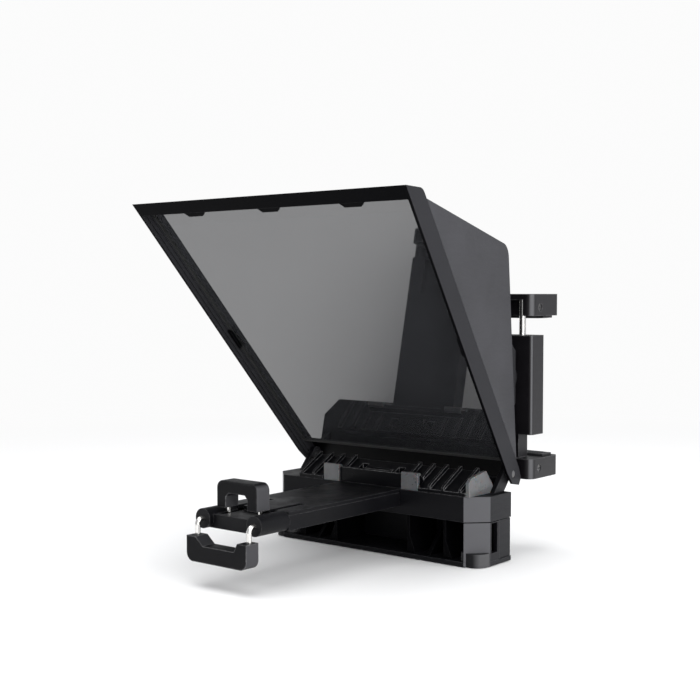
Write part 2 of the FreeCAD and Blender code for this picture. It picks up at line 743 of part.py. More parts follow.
def make_base_ribs():
    """The stiffening ribs inside the open front of the housing."""
    body = new_body("base_ribs")
    front = g.base_front_y + 3
    rear = g.base_rear_y - g.base_wall - 0.02
    low = g.base_foot_z + 2.62
    high = g.base_seam_z - 0.02
    for side in (-1, 1):
        for x, flare in ((54.0, 5.0), (28.0, 5.0)):
            tall = [(side * (x - 0.9), low), (side * (x + flare), low), (side * (x + 0.9), low + 10),
                    (side * (x + 0.9), high), (side * (x - 0.9), high)]
            pad(body, "XZ", [tall], front, rear)
        gusset = [(front, low), (rear, low), (rear, high), (front + 10, high - 12)]
        pad(body, "YZ", [gusset], side * 41.2, side * 43.4)


def make_base_cover():
    """The bottom plate of the housing."""
    body = new_body("base_cover")
    block(body, (-g.base_half, g.base_front_y, g.base_foot_z),
          (g.base_half, g.base_rear_y, g.base_foot_z + 2.58))
    for side in (-1, 1):
        chamfer(body, g.corner_cut, *around(side * g.base_half, g.base_front_y, None), along=ALONG_Z)
        pocket = foot_circle(side, g.foot_r + 0.02)
        cut(body, "XY", [pocket], g.base_foot_z - 1, g.base_foot_z + 4)
    for x in SCREW_X:
        head = Round(x, g.base_rear_y - 8, g.screw_r + 0.02)
        cut(body, "XY", [head], g.base_foot_z - 1, g.base_foot_z + 1.2)


def foot_circle(side, radius):
    """The round outline of one corner foot."""
    return Round(side * (g.base_half - g.foot_r - 0.2), g.base_front_y + g.foot_r + 1.0, radius)


def make_corner_feet():
    """Round feet let into the chamfered corners."""
    body = new_body("corner_feet")
    for side in (-1, 1):
        pad(body, "XY", [foot_circle(side, g.foot_r)], g.base_foot_z, g.base_foot_z + g.foot_high)


def make_base_screws():
    """Screw heads let into the bottom plate."""
    body = new_body("base_screws")
    for x in SCREW_X:
        head = Round(x, g.base_rear_y - 8, g.screw_r)
        pad(body, "XY", [head], g.base_foot_z + 0.3, g.base_foot_z + 1.18)


def make_base_upper():
    """The upper housing, a lid notched for the tray's arm, with the hinge cheeks and the rail between."""
    body = new_body("base_upper")
    half = g.base_half
    low = g.base_seam_z + 0.5
    block(body, (-half, g.base_front_y, low), (half, g.base_rear_y, g.base_top_z))
    for side in (-1, 1):
        chamfer(body, g.corner_cut, *around(side * half, g.base_front_y, None), along=ALONG_Z)
    tie_half = g.arm_half + 0.02
    hollow(body, (-tie_half, g.base_front_y - 1, g.arm_low_z - 0.02),
           (tie_half, g.base_front_y + 20, g.base_top_z + 1))
    hollow(body, (-half + 6, g.base_front_y + 24, low - 1),
           (half - 6, g.base_rear_y - 3, g.base_top_z - 3))
    cheeks = new_body("hinge_cheeks")
    for side in (-1, 1):
        inner = g.cheek_x
        outer = inner + 3.0
        cheek = [(g.hinge_y - 14, g.base_top_z + 0.02), (g.hinge_y - 3.4, g.base_top_z + 0.02),
                 (g.hinge_y + 2.6, g.hinge_z - 3.2), (g.hinge_y - 2.6, g.hinge_z + 3.2)]
        pad(cheeks, "YZ", [cheek], side * inner, side * outer)
        pad(cheeks, "YZ", [Round(g.hinge_y, g.hinge_z, 4.2)], side * inner, side * outer)
        pin = Round(g.hinge_y, g.hinge_z, g.hinge_pin_r + g.run_gap)
        cut(cheeks, "YZ", [pin], side * (inner - 1), side * (outer + 1))
    rail = rectangle(g.base_rear_y - 2.4, g.base_top_z + 0.02, g.base_rear_y, g.hinge_z - 2.0)
    pad(cheeks, "YZ", [rail], -(g.cheek_x - 0.1), g.cheek_x - 0.1)


def make_hinge_pins():
    """The pins of the tray hinge, held in the frame's ears."""
    body = new_body("hinge_pins")
    for side in (-1, 1):
        outer = half_width_at(g.hinge_y) - 0.4
        pin = Round(g.hinge_y, g.hinge_z, g.hinge_pin_r)
        pad(body, "YZ", [pin], side * (g.cheek_x + 0.4), side * outer)


def make_deck():
    """The sloping deck under the glass, with its ribs and centre block, and the soft end plate."""
    body = new_body("ribbed_deck")
    low = g.base_top_z + 0.02
    heel = g.hinge_y - 16.8
    crest = g.hinge_z + 2.4
    rise = sine(g.deck_rise) / cosine(g.deck_rise)
    inner_toe = g.bar_front_y + 6.2
    edge = g.bar_half + 0.5
    for start, end, toe in ((-g.deck_half, -edge, g.deck_toe_y), (-edge, edge, inner_toe),
                            (edge, g.deck_end, g.deck_toe_y)):
        toe_z = crest - (heel - toe) * rise
        slope = [(toe, low), (heel + 3.0, low), (heel + 2.2, crest - 0.6), (heel, crest),
                 (toe, toe_z)]
        pad(body, "YZ", [slope], start, end)
    for x in (24.2, 34.2, 43.7, 53.2, 65.2):
        toe = inner_toe if x < 36 else g.deck_toe_y
        toe_z = crest - (heel - toe) * rise
        rib = [(toe, low), (heel + 0.2, low + 2), (heel + 0.2, crest + 2.0), (heel - 1.2, crest + 2.0),
               (toe + 1.0, toe_z + 2.6), (toe, toe_z + 1.6)]
        pad(body, "YZ", [rib], x, x + g.rib_thick)
        if x < 56:
            pad(body, "YZ", [rib], -x - g.rib_thick, -x)
    block(body, (-9, inner_toe, low), (9, heel - 2, crest - 3.4))
    for side in (-1, 1):
        slot = rectangle(side * 11.5, inner_toe + 3.5, side * 16.5, inner_toe + 8.5)
        cut(body, "XY", [slot], low + 1.5, crest + 3)
    plate = new_body("deck_end_plate")
    outline = [(g.deck_toe_y + 0.5, low), (g.deck_toe_y, crest - 4.3), (g.deck_toe_y + 3.4, crest - 1.6),
               (heel - 1.2, crest + 0.8), (heel + 5.5, crest - 7.5), (heel + 7.5, low)]
    pad(plate, "YZ", [outline], g.cheek_x - 2.3, g.cheek_x - 0.1)


def make_rear_bar():
    """The fixed bar the reading device is pushed against, with a soft pad on each end."""
    body = new_body("rear_bar")
    rear = g.bar_front_y + 6
    low = g.base_top_z + 0.02
    half = g.bar_half
    front = g.bar_front_y + g.pad_thick
    profile = [(front, low), (rear, low), (rear, g.bar_top_z - 3), (rear - 2.5, g.bar_top_z),
               (front, g.bar_top_z)]
    pad(body, "YZ", [profile], -half, half)
    pads = new_body("rear_bar_pads")
    for side in (-1, 1):
        wrap = [(g.bar_front_y, low), (front - 0.01, low), (front - 0.01, g.bar_top_z + 0.02),
                (rear - 2.4, g.bar_top_z + 0.02), (rear - 3.4, g.bar_top_z + 1.3),
                (g.bar_front_y, g.bar_top_z + 1.3)]
        pad(pads, "YZ", [wrap], side * (half - 12), side * half)


def wire_slot(side):
    """The X span of the slot that one upright wire of the small jaw moves in."""
    near = g.inner_wire_x - g.wire_r - 0.5
    far = g.inner_wire_x + g.wire_r + 0.5
    if side > 0:
        return near, far
    return -far, -near


def make_arm():
    """The hollow arm that reaches forward under the device: a channel and a slotted cover."""
    channel = new_body("arm_channel")
    half = g.arm_half
    front = g.arm_front_y + 0.02
    rear = g.base_front_y + 20
    wall = g.arm_wall
    block(channel, (-half, front, g.arm_low_z), (half, rear, g.arm_top_z - wall - 0.02))
    hollow(channel, (-half + wall, front - 1, g.arm_low_z + wall),
           (half - wall, rear - 3, g.arm_top_z))
    cover = new_body("arm_cover")
    block(cover, (-half, front, g.arm_top_z - wall), (half, rear, g.arm_top_z))
    slot_rear = g.inner_wire_y + 34
    for side in (-1, 1):
        low_x, high_x = wire_slot(side)
        hollow(cover, (low_x, front - 1, g.arm_top_z - wall - 1), (high_x, slot_rear, g.arm_top_z + 1))


def make_guide_block():
    """The front block with the two guide tubes the wide jaw's wires run in."""
    body = new_body("guide_block")
    rear = g.arm_front_y
    front = g.tube_front_y + 3
    block(body, (-g.tube_x, front, g.arm_low_z), (g.tube_x, rear, g.wire_z + 2.4))
    for side in (-1, 1):
        pad(body, "XZ", [Round(side * g.tube_x, g.wire_z, g.tube_r)], g.tube_front_y, rear)
    for side in (-1, 1):
        low_x, high_x = wire_slot(side)
        hollow(body, (low_x, g.inner_wire_y - 6, g.wire_z - 2.2), (high_x, rear + 1, g.arm_top_z + 1))
    for side in (-1, 1):
        bore = Round(side * g.tube_x, g.wire_z, g.wire_r + g.run_gap)
        cut(body, "XZ", [bore], g.tube_front_y - 1, rear + 1)


def bent_wires(label, x, front_y, upright_top, upright_bottom, end_y):
    """A mirrored pair of wires: a run along Y, a rounded bend and an upright leg."""
    pieces = []
    turn = g.wire_bend
    rises = size(upright_top).value > g.wire_z.value
    for side in (-1, 1):
        run = doc.addObject("Part::Cylinder", label + "_run")
        run.Placement = FreeCAD.Placement(Vec(0, 0, 0), FreeCAD.Rotation(X_AXIS, -90))
        bind(run, "Radius", g.wire_r)
        bind(run, "Height", end_y - front_y - turn)
        bind(run, "Placement.Base.x", side * x)
        bind(run, "Placement.Base.y", front_y + turn)
        bind(run, "Placement.Base.z", g.wire_z)
        bend = doc.addObject("Part::Torus", label + "_bend")
        bind(bend, "Radius1", turn)
        bind(bend, "Radius2", g.wire_r)
        bend.Angle3 = 90
        # The torus lies in XY; stand it up in YZ with its quarter between the run and the leg.
        upright = FreeCAD.Rotation(Vec(0, 1, 0), -90)
        spin = FreeCAD.Rotation(X_AXIS, 180 if rises else 90)
        bend.Placement = FreeCAD.Placement(Vec(0, 0, 0), spin.multiply(upright))
        bind(bend, "Placement.Base.x", side * x)
        bind(bend, "Placement.Base.y", front_y + turn)
        bind(bend, "Placement.Base.z", g.wire_z + turn if rises else g.wire_z - turn)
        leg = doc.addObject("Part::Cylinder", label + "_leg")
        bind(leg, "Radius", g.wire_r)
        bind(leg, "Height", upright_top - upright_bottom)
        bind(leg, "Placement.Base.x", side * x)
        bind(leg, "Placement.Base.y", front_y)
        bind(leg, "Placement.Base.z", upright_bottom)
        pieces += [run, bend, leg]
    wires = doc.addObject("Part::MultiFuse", label)
    wires.Shapes = pieces
    wires.Label = label
    doc.recompute()
    nodes.append(wires)
    return wires


def make_inner_jaw():
    """The small sprung jaw for phones: an arch on two wires."""
    body = new_body("inner_jaw")
    half = g.inner_half
    low = g.inner_low_z
    high = g.inner_top_z
    rear = g.inner_rear_y - g.pad_thick
    arch = [(-half, low), (-half + 7, low), (-half + 7, low + 6.0), (-half + 9, low + 8.0),
            (half - 9, low + 8.0), (half - 7, low + 6.0), (half - 7, low), (half, low), (half, high),
            (-half, high)]
    pad(body, "XZ", [arch], g.inner_front_y, rear)
    for side in (-1, 1):
        fillet(body, 4.0, *around(side * half, None, high), along=ALONG_Y)
        hole = Round(side * g.inner_wire_x, g.inner_wire_y, g.wire_r)
        cut(body, "XY", [hole], low - 1, low + 5)
    face = g.inner_front_y.value
    fillet(body, 1.0, (-100, face - 0.05, low.value + 9), (100, face + 0.05, 100))
    lining = new_body("inner_jaw_lining")
    block(lining, (-half + 1.5, rear + 0.01, low + 8.5), (half - 1.5, g.inner_rear_y, high - 4.2))
    bent_wires("inner_jaw_wires", g.inner_wire_x, g.inner_wire_y, low + 4.98, g.wire_z + g.wire_bend,
               g.inner_wire_end_y)


def make_outer_jaw():
    """The wide jaw for tablets, hanging below the guide tubes on two longer wires."""
    body = new_body("outer_jaw")
    half = g.outer_half
    low = g.outer_low_z
    high = g.outer_top_z
    rear = g.outer_rear_y - g.pad_thick
    basin = [(-half, low), (half, low), (half, high), (half - 6.5, high), (half - 9, high - 4.6),
             (-half + 12, high - 4.6), (-half + 6.5, high), (-half, high)]
    pad(body, "XZ", [basin], g.outer_front_y, rear)
    middle = (g.outer_front_y + g.outer_rear_y) / 2
    for side in (-1, 1):
        fillet(body, 4.5, *around(side * half, None, low), along=ALONG_Y)
        hole = Round(side * g.tube_x, middle, g.wire_r)
        cut(body, "XY", [hole], high - 7, high + 1)
    lining = new_body("outer_jaw_lining")
    block(lining, (-half + 2, rear + 0.01, low + 4.6), (half - 2, g.outer_rear_y, high - 5.2))
    bent_wires("outer_jaw_wires", g.tube_x, middle, g.wire_z - g.wire_bend, high - 6.98, g.outer_wire_end_y)


def build():
    """Make every sub-part."""
    open_glass_frame(make_glass_frame())
    make_glass()
    make_glass_bead()
    make_glass_tabs()
    make_side_clips()
    make_hood_side("hood_side_right", 1)
    make_hood_side("hood_side_left", -1)
    make_hood_top()
    make_lens_plate()
    make_lens_ring()
    make_clamp_bracket()
    make_clamp_neck()
    make_clamp_body()
    make_clamp_top_jaw()
    make_clamp_rods()
    make_clamp_bottom_jaw()
    make_jaw_screw("clamp_top_screw", g.jaw_up_z + 5.0)
    make_jaw_screw("clamp_bottom_screw", g.jaw_down_z - g.jaw_down_high + 6.0)
    make_clamp_pads()
    make_base_lower()
    make_base_ribs()
    make_base_cover()
    make_corner_feet()
    make_base_screws()
    make_base_upper()
    make_hinge_pins()
    make_deck()
    make_rear_bar()
    make_arm()
    make_guide_block()
    make_inner_jaw()
    make_outer_jaw()


def check_and_export():
    """Stop on any broken feature, then write one STEP file per sub-part."""
    doc.recompute()
    for item in doc.Objects:
        if "Invalid" in item.State or "Error" in item.State:
            raise RuntimeError(item.Name + " is " + str(item.State))
    os.makedirs("parts", exist_ok=True)
    for node in nodes:
        shape = node.Shape
        if shape.isNull() or not shape.isValid() or not shape.Solids:
            raise RuntimeError(node.Label + " has no valid solid")
        shape.exportStep("parts/" + node.Label + ".step")
        print("%-22s %9.1f mm3" % (node.Label, shape.Volume))


build()
check_and_export()
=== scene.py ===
"""Looks of the foldable teleprompter: materials, small relief parts, stage, light and camera."""
import json
import math

import bmesh
import bpy
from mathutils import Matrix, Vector


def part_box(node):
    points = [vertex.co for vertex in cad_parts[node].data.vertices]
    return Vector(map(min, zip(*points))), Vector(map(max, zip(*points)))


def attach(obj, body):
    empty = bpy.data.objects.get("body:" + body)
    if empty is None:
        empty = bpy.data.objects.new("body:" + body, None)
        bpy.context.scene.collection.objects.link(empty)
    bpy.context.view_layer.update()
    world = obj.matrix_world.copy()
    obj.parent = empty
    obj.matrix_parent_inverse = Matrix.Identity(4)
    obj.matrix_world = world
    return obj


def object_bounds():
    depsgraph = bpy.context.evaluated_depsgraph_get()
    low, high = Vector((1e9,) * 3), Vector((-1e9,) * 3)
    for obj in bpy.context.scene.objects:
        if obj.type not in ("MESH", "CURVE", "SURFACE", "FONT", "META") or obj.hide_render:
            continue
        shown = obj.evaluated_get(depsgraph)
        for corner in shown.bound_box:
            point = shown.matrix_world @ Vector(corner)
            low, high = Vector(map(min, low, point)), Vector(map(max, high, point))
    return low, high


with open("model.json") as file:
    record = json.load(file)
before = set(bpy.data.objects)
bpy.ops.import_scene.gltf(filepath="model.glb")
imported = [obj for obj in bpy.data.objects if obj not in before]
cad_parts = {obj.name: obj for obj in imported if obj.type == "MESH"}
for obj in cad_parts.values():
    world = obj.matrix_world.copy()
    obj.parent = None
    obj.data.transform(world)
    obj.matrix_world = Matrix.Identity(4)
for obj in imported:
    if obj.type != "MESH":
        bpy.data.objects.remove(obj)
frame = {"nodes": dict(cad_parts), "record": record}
cad_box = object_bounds()
nodes = frame["nodes"]
MM = 0.001
STAIN = (0.42, 0.36, 0.27)


# ---------------------------------------------------------------- material helpers

class Graph:
    """A material's node tree, with short calls for the nodes used here."""

    def __init__(self, name):
        self.mat = bpy.data.materials.new(name)
        self.mat.use_nodes = True
        self.tree = self.mat.node_tree
        self.shader = self.tree.nodes["Principled BSDF"]
        self.place = self.add("ShaderNodeTexCoord").outputs["Object"]

    def add(self, kind, **settings):
        node = self.tree.nodes.new(kind)
        for key, value in settings.items():
            setattr(node, key, value)
        return node

    def link(self, source, target):
        self.tree.links.new(source, target)

    def stretched(self, scale):
        """Object coordinates scaled per axis."""
        node = self.add("ShaderNodeMapping")
        node.inputs["Scale"].default_value = scale
        self.link(self.place, node.inputs["Vector"])
        return node.outputs["Vector"]

    def noise(self, scale, detail=3.0, rough=0.55, vector=None, distortion=0.0):
        node = self.add("ShaderNodeTexNoise")
        node.inputs["Scale"].default_value = scale
        node.inputs["Detail"].default_value = detail
        node.inputs["Roughness"].default_value = rough
        node.inputs["Distortion"].default_value = distortion
        self.link(vector or self.place, node.inputs["Vector"])
        return node.outputs["Fac"]

    def cells(self, scale):
        """Small round pits or pips."""
        node = self.add("ShaderNodeTexVoronoi", feature="F1")
        node.inputs["Scale"].default_value = scale
        self.link(self.place, node.inputs["Vector"])
        return node.outputs["Distance"]

    def waves(self, scale, distortion=0.0, **shape):
        """Bands stacked along Z, or what shape says."""
        node = self.add("ShaderNodeTexWave", **(shape or {"wave_type": "BANDS", "bands_direction": "Z"}))
        node.inputs["Scale"].default_value = scale
        node.inputs["Distortion"].default_value = distortion
        self.link(self.place, node.inputs["Vector"])
        return node.outputs["Fac"]

    def remap(self, source, low, high, from_low=0.3, from_high=0.7):
        node = self.add("ShaderNodeMapRange")
        node.inputs["From Min"].default_value = from_low
        node.inputs["From Max"].default_value = from_high
        node.inputs["To Min"].default_value = low
        node.inputs["To Max"].default_value = high
        self.link(source, node.inputs["Value"])
        return node.outputs["Result"]

    def math(self, operation, first, second):
        node = self.add("ShaderNodeMath", operation=operation)
        for socket, value in zip(node.inputs, (first, second)):
            if hasattr(value, "links"):
                self.link(value, socket)
            else:
                socket.default_value = value
        return node.outputs["Value"]

    def mix(self, factor, first, second):
        node = self.add("ShaderNodeMix", data_type="RGBA")
        sockets = [s for s in node.inputs if s.type == "RGBA"]
        self.link(factor, node.inputs["Factor"])
        for socket, value in zip(sockets, (first, second)):
            if hasattr(value, "links"):
                self.link(value, socket)
            else:
                socket.default_value = (*value, 1.0)
        return [s for s in node.outputs if s.type == "RGBA"][0]

    def edges(self, radius):
        """A softened normal, and a mask that is 1 along the edges."""
        bevel = self.add("ShaderNodeBevel", samples=4)
        bevel.inputs["Radius"].default_value = radius
        flat = self.add("ShaderNodeNewGeometry")
        dot = self.add("ShaderNodeVectorMath", operation="DOT_PRODUCT")
        self.link(bevel.outputs["Normal"], dot.inputs[0])
        self.link(flat.outputs["True Normal"], dot.inputs[1])
        mask = self.remap(dot.outputs["Value"], 1.0, 0.0, 0.80, 0.998)
        return bevel.outputs["Normal"], mask

    def bump(self, height, strength, depth, normal=None):
        node = self.add("ShaderNodeBump")
        node.inputs["Strength"].default_value = strength
        node.inputs["Distance"].default_value = depth
        self.link(height, node.inputs["Height"])
        if normal is not None:
            self.link(normal, node.inputs["Normal"])
        return node.outputs["Normal"]

    def set(self, **values):
        """Constants of the shader, under short names."""
        names = {"rough": "Roughness", "metal": "Metallic", "ior": "IOR", "spec": "Specular IOR Level",
                 "through": "Transmission Weight", "sheen": "Sheen Weight",
                 "sss": "Subsurface Weight", "sss_scale": "Subsurface Scale"}
        for key, value in values.items():
            self.shader.inputs[names[key]].default_value = value
        return self


def moulded(name, colour, wear_and_highlight, rough, grain, relief, edge, spec, spread=0.08, scuffs=0.06,
            painted_side_light=None, turn=(0.90, 0.96), reach=0.0, square=1.0):
    """Moulded plastic: spark-eroded grain, cloudy gloss, faint scuffs and rubbed edges.

    The side tone is painted light: a lighter grey on the faces that look to the object's sides, standing in
    for the light that falls on them; turn says how squarely a face must look there to take it, reach how far
    from the middle it must lie, and square how much of it the faces square to the side keep."""
    m = Graph(name)
    colour = Vector(colour)
    soft, mask = m.edges(edge * MM)
    cloud = m.noise(34.0, 4.0, 0.6)
    speck = m.noise(2600.0, 2.0, 0.5)
    tone = m.mix(m.remap(cloud, 0.0, 1.0, 0.35, 0.68), tuple(colour * 0.84), tuple(colour * 1.16))
    tone = m.mix(m.remap(speck, 0.0, 0.30, 0.45, 0.75), tone, tuple(colour * 1.7))
    # Painted light: faces that look to the object's sides take a lighter grey, standing in for the lamps'
    # light on them.
    if painted_side_light:
        sideways = m.add("ShaderNodeSeparateXYZ")
        m.link(m.add("ShaderNodeTexCoord").outputs["Normal"], sideways.inputs["Vector"])
        facing = m.remap(m.math("ABSOLUTE", sideways.outputs["X"], 0.0), 0.0, 1.0, *turn)
        if square < 1.0:
            flatter = m.remap(m.math("ABSOLUTE", sideways.outputs["X"], 0.0), 1.0, square, 0.85, 0.95)
            facing = m.math("MULTIPLY", facing, flatter)
        if reach:
            spot = m.add("ShaderNodeSeparateXYZ")
            m.link(m.place, spot.inputs["Vector"])
            outer = m.remap(m.math("ABSOLUTE", spot.outputs["X"], 0.0), 0.0, 1.0, reach, reach + 0.0008)
            facing = m.math("MULTIPLY", facing, outer)
        grey = m.mix(cloud, tuple(c * 0.9 for c in painted_side_light), tuple(c * 1.1 for c in painted_side_light))
        tone = m.mix(facing, tone, grey)
    # The edges go lighter: partly rubbed wear, partly a painted highlight.
    ragged = m.math("MULTIPLY", mask, m.remap(m.noise(420.0, 3.0, 0.7), 0.15, 0.75, 0.35, 0.65))
    tone = m.mix(ragged, tone, wear_and_highlight)
    m.link(tone, m.shader.inputs["Base Color"])
    scuff = m.noise(60.0, 6.0, 0.75, m.stretched((1.0, 1.0, 7.0)), 1.2)
    gloss = m.math("ADD", m.remap(cloud, rough - spread, rough + spread, 0.35, 0.65),
                   m.remap(scuff, -scuffs, scuffs, 0.35, 0.65))
    gloss = m.math("ADD", gloss, m.math("MULTIPLY", mask, -0.10))
    m.link(gloss, m.shader.inputs["Roughness"])
    pits = m.cells(1000.0 / grain)
    grainy = m.bump(pits, relief, 0.00006, soft)
    grainy = m.bump(m.noise(500.0, 3.0, 0.6), relief * 0.5, 0.00005, grainy)
    m.link(grainy, m.shader.inputs["Normal"])
    return m.set(spec=spec).mat


def rubbery(name, colour, rough, pitch=None):
    """Soft rubber: dusty and fine-grained, with shallow ribs a pitch (in millimetres) apart."""
    m = Graph(name)
    colour = Vector(colour)
    soft, mask = m.edges(0.3 * MM)
    dust = m.noise(180.0, 5.0, 0.7)
    tone = m.mix(m.remap(dust, 0.0, 1.0, 0.35, 0.7), tuple(colour * 0.8), tuple(colour * 1.5))
    m.link(m.mix(mask, tone, tuple(colour * 2.2)), m.shader.inputs["Base Color"])
    m.link(m.remap(dust, rough - 0.08, rough + 0.08), m.shader.inputs["Roughness"])
    normal = m.bump(m.noise(2400.0, 2.0, 0.5), 0.35, 0.00005, soft)
    if pitch:
        # A wave texture of scale 1 repeats every 2 pi / 20 of a unit.
        normal = m.bump(m.waves(2 * math.pi / 20 / (pitch * MM)), 0.7, 0.0004, normal)
    m.link(normal, m.shader.inputs["Normal"])
    return m.set(spec=0.35, sheen=0.08).mat


def drawn_metal(name, colour, rough, along):
    """Metal with fine lines along one axis, faint staining and small dents."""
    m = Graph(name)
    colour = Vector(colour)
    lines = [2600.0, 2600.0, 2600.0]
    lines["XYZ".index(along)] = 40.0
    streak = m.noise(1.0, 2.0, 0.5, m.stretched(tuple(lines)))
    stained = m.noise(160.0, 4.0, 0.65)
    tone = m.mix(m.remap(streak, 0.0, 1.0), tuple(colour * 0.86), tuple(colour))
    m.link(m.mix(m.remap(stained, 0.0, 0.28, 0.52, 0.8), tone, STAIN), m.shader.inputs["Base Color"])
    m.link(m.math("ADD", m.remap(streak, rough - 0.05, rough + 0.07),
                  m.remap(stained, 0.0, 0.10, 0.5, 0.8)), m.shader.inputs["Roughness"])
    soft, _ = m.edges(0.15 * MM)
    normal = m.bump(streak, 0.18, 0.00003, soft)
    m.link(m.bump(stained, 0.12, 0.00008, normal), m.shader.inputs["Normal"])
    return m.set(metal=1.0, spec=0.5).mat


def anodised(name, colour, rough):
    """Black anodised aluminium, turned on a lathe: fine rings round the lens axis."""
    m = Graph(name)
    colour = Vector(colour)
    rings = m.waves(900.0, 0.6, wave_type="RINGS", rings_direction="Y")
    soft, mask = m.edges(0.25 * MM)
    cloud = m.noise(70.0, 4.0, 0.6)
    tone = m.mix(m.remap(cloud, 0.0, 1.0), tuple(colour * 0.8), tuple(colour * 1.25))
    chipped = m.math("MULTIPLY", mask, m.remap(m.noise(700.0, 3.0, 0.7), 0.0, 0.9, 0.5, 0.62))
    m.link(m.mix(chipped, tone, (0.38, 0.38, 0.39)), m.shader.inputs["Base Color"])
    m.link(m.remap(cloud, rough - 0.06, rough + 0.08), m.shader.inputs["Roughness"])
    m.link(m.bump(rings, 0.14, 0.00003, soft), m.shader.inputs["Normal"])
    return m.set(metal=0.65).mat


def half_mirror(name):
    """Half-silvered glass: a neutral coating that mirrors part of the light, with faint smears."""
    m = Graph(name)
    smear = m.noise(22.0, 6.0, 0.7, m.stretched((1.0, 2.2, 1.4)), 1.5)
    dust = m.noise(1500.0, 2.0, 0.5)
    tone = m.mix(m.remap(smear, 0.0, 1.0), (0.030, 0.031, 0.034), (0.042, 0.043, 0.047))
    m.link(m.mix(m.remap(dust, 0.0, 0.35, 0.66, 0.84), tone, (0.16, 0.16, 0.165)),
           m.shader.inputs["Base Color"])
    m.link(m.remap(smear, 0.012, 0.05, 0.35, 0.75), m.shader.inputs["Roughness"])
    m.link(m.bump(smear, 0.02, 0.0001), m.shader.inputs["Normal"])
    return m.set(ior=2.35, through=0.35, spec=0.5).mat


def silicone(name):
    """Smoky translucent silicone."""
    m = Graph(name)
    cloud = m.noise(90.0, 4.0, 0.6)
    soft, mask = m.edges(0.5 * MM)
    tone = m.mix(m.remap(cloud, 0.0, 1.0), (0.12, 0.122, 0.128), (0.19, 0.192, 0.20))
    m.link(m.mix(mask, tone, (0.38, 0.38, 0.39)), m.shader.inputs["Base Color"])
    m.link(m.remap(cloud, 0.24, 0.42), m.shader.inputs["Roughness"])
    m.link(m.bump(m.noise(900.0, 2.0, 0.5), 0.2, 0.00006, soft), m.shader.inputs["Normal"])
    return m.set(ior=1.41, through=0.35, sss=0.25, sss_scale=0.004).mat


# Colours are linear. The edge tone is partly rubbed wear and partly a painted highlight along the edges,
# most of all on the deck's ribs;
# edge is the width of that band in millimetres, grain the pitch of the surface pits in millimetres and
# relief their depth.
# The side tones are painted light: they lighten the faces that look to the sides, standing in for the lamps
# on that side.
MOULDED = {
    "frame_plastic": dict(colour=(0.0013, 0.0013, 0.0018), wear_and_highlight=(0.045, 0.045, 0.048), rough=0.46,
                          grain=0.30, relief=0.07, edge=0.5, spread=0.03, spec=0.025,
                          painted_side_light=(0.027, 0.027, 0.030), scuffs=0.01),
    "trim_plastic": dict(colour=(0.0012, 0.0012, 0.0016), wear_and_highlight=(0.03, 0.03, 0.032), rough=0.5,
                         grain=0.30, relief=0.2, edge=0.3, spec=0.03),
    "hood_panel": dict(colour=(0.034, 0.034, 0.0385), wear_and_highlight=(0.10, 0.10, 0.105), rough=0.64,
                       grain=0.55, relief=0.35, edge=0.5, spread=0.04, spec=0.30, scuffs=0.03),
    "plate_plastic": dict(colour=(0.012, 0.012, 0.014), wear_and_highlight=(0.09, 0.09, 0.095), rough=0.55,
                          grain=0.40, relief=0.10, edge=0.5, spread=0.05, spec=0.25, scuffs=0.03),
    "clamp_plastic": dict(colour=(0.0045, 0.004, 0.005), wear_and_highlight=(0.16, 0.16, 0.165), rough=0.42,
                          grain=0.30, relief=0.16, edge=0.9, spread=0.05, spec=0.20, scuffs=0.03,
                          painted_side_light=(0.085, 0.085, 0.09), turn=(0.45, 0.65), square=0.16),
    "base_plastic": dict(colour=(0.0035, 0.0035, 0.0045), wear_and_highlight=(0.10, 0.10, 0.105), rough=0.46,
                         grain=0.35, relief=0.14, edge=0.5, spec=0.10,
                         painted_side_light=(0.085, 0.085, 0.091), turn=(0.55, 0.65), reach=0.066, square=0.20),
    "foot_rubber": dict(colour=(0.006, 0.006, 0.007), wear_and_highlight=(0.05, 0.05, 0.052), rough=0.6,
                        grain=0.25, relief=0.3, edge=0.4, spec=0.15,
                        painted_side_light=(0.075, 0.075, 0.078), turn=(0.35, 0.75)),
    # The deck's bright edge tone is a painted highlight on its rib edges.
    "deck_plastic": dict(colour=(0.0022, 0.0022, 0.003), wear_and_highlight=(0.50, 0.50, 0.505), rough=0.36,
                         grain=0.30, relief=0.10, edge=0.6, spec=0.09),
    "arm_plastic": dict(colour=(0.0035, 0.0035, 0.0045), wear_and_highlight=(0.12, 0.12, 0.125), rough=0.40,
                        grain=0.30, relief=0.2, edge=0.5, spec=0.14),
    "jaw_plastic": dict(colour=(0.0030, 0.0030, 0.0038), wear_and_highlight=(0.24, 0.24, 0.245), rough=0.42,
                        grain=0.35, relief=0.20, edge=1.0, spec=0.10,
                        painted_side_light=(0.050, 0.050, 0.054), turn=(0.5, 0.9)),
}
MATERIALS = {name: moulded(name, **finish) for name, finish in MOULDED.items()}
MATERIALS.update({
    "beam_splitter": half_mirror("beam_splitter"),
    "bead_rubber": rubbery("bead_rubber", (0.009, 0.009, 0.009), 0.62),
    "pad_rubber": rubbery("pad_rubber", (0.020, 0.020, 0.022), 0.68, pitch=1.6),
    "ring_metal": anodised("ring_metal", (0.03, 0.03, 0.033), 0.30),
    "bright_steel": drawn_metal("bright_steel", (0.78, 0.77, 0.75), 0.16, along="Y"),
    "screw_steel": drawn_metal("screw_steel", (0.16, 0.16, 0.165), 0.34, along="X"),
    "clear_silicone": silicone("clear_silicone"),
})
SLOT_OF = {part["node"]: part["material_slot"] for part in frame["record"]["subparts"]}


def dress(obj, material):
    """Put one material on every slot of a node."""
    if not obj.material_slots:
        obj.data.materials.append(material)
    for held in obj.material_slots:
        held.material = material


for label, obj in nodes.items():
    dress(obj, MATERIALS[SLOT_OF[label]])


# ---------------------------------------------------------------- mesh helpers

